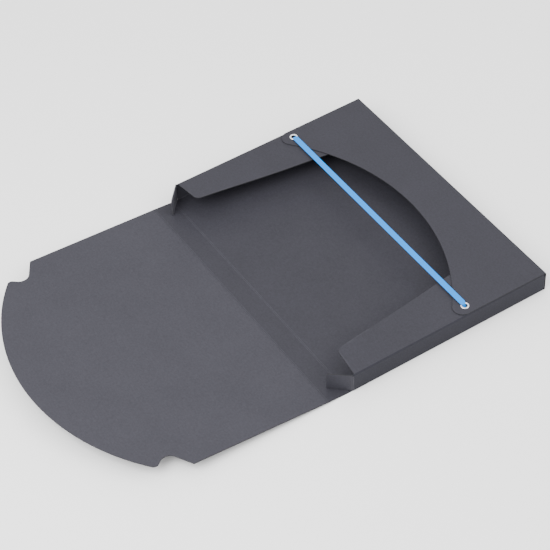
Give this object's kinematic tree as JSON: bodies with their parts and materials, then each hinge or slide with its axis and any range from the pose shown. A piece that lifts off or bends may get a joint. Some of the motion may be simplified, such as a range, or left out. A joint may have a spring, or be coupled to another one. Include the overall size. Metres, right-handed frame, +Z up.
{
  "type": "document box",
  "caption": "Flat folding card box for papers with a hinged cover, side flaps and an elastic band hooked over the cover's tongue.",
  "frame": {"origin": "centre of the underside of the tray, half way between the spine crease and the closed end", "axes": "+X from the open spine side to the closed end, +Y from the near side wall to the far one, +Z up"},
  "size_m": [0.5148, 0.334, 0.026],
  "materials": {
    "card": "dark blue-grey pressed card, matt, faint mottled grain",
    "cover_card": "the same card on the spine and cover, matt, faint mottled grain",
    "eyelet_metal": "bright nickel plated, smooth",
    "elastic": "light blue flat woven elastic",
    "stop_metal": "plain pressed steel"
  },
  "bodies": {
    "tray": {"bottom_panel": "card", "near_side_wall": "card", "far_side_wall": "card", "end_wall": "card", "near_glue_tab": "card", "far_glue_tab": "card", "near_side_flap": "card", "far_side_flap": "card", "top_panel": "card", "near_eyelet": "eyelet_metal", "far_eyelet": "eyelet_metal", "near_band_end": "elastic", "far_band_end": "elastic", "near_elastic_stop": "stop_metal", "far_elastic_stop": "stop_metal"},
    "spine": {"spine_panel": "cover_card"},
    "cover": {"cover_flap": "cover_card"},
    "near_ear": {"near_corner_ear": "card"},
    "far_ear": {"far_corner_ear": "card"},
    "band": {"elastic_band": "elastic"}
  },
  "joints": [
    {"name": "spine_fold", "type": "hinge", "parent": "tray", "child": "spine", "pos_m": [-0.1235, 0, 0.0005], "axis": [0, 1, 0], "range_deg": [-4, 85.8], "deforming": ["near_corner_ear", "far_corner_ear"]},
    {"name": "cover_fold", "type": "hinge", "parent": "spine", "child": "cover", "pos_m": [-0.14744, 0, 0.00226], "axis": [0, 1, 0], "range_deg": [0, 89]},
    {"name": "near_ear_fold", "type": "hinge", "parent": "tray", "child": "near_ear", "pos_m": [-0.1182, -0.1665, 0.0125], "axis": [0, 0, -1], "range_deg": [-2.5, 50]},
    {"name": "far_ear_fold", "type": "hinge", "parent": "tray", "child": "far_ear", "pos_m": [-0.1182, 0.1665, 0.0125], "axis": [0, 0, 1], "range_deg": [-2.5, 42]},
    {"name": "band_stretch", "type": "slide", "parent": "tray", "child": "band", "axis": [0.9898, 0, 0.1427], "range_m": [0, 0.02172], "stiffness_N_per_m": 60, "deforming": ["near_band_end", "far_band_end"]}
  ],
  "couplings": [
    {"joint": "near_ear_fold", "follows": "spine_fold", "ratio": 0.58275},
    {"joint": "far_ear_fold", "follows": "spine_fold", "ratio": 0.48951}
  ]
}
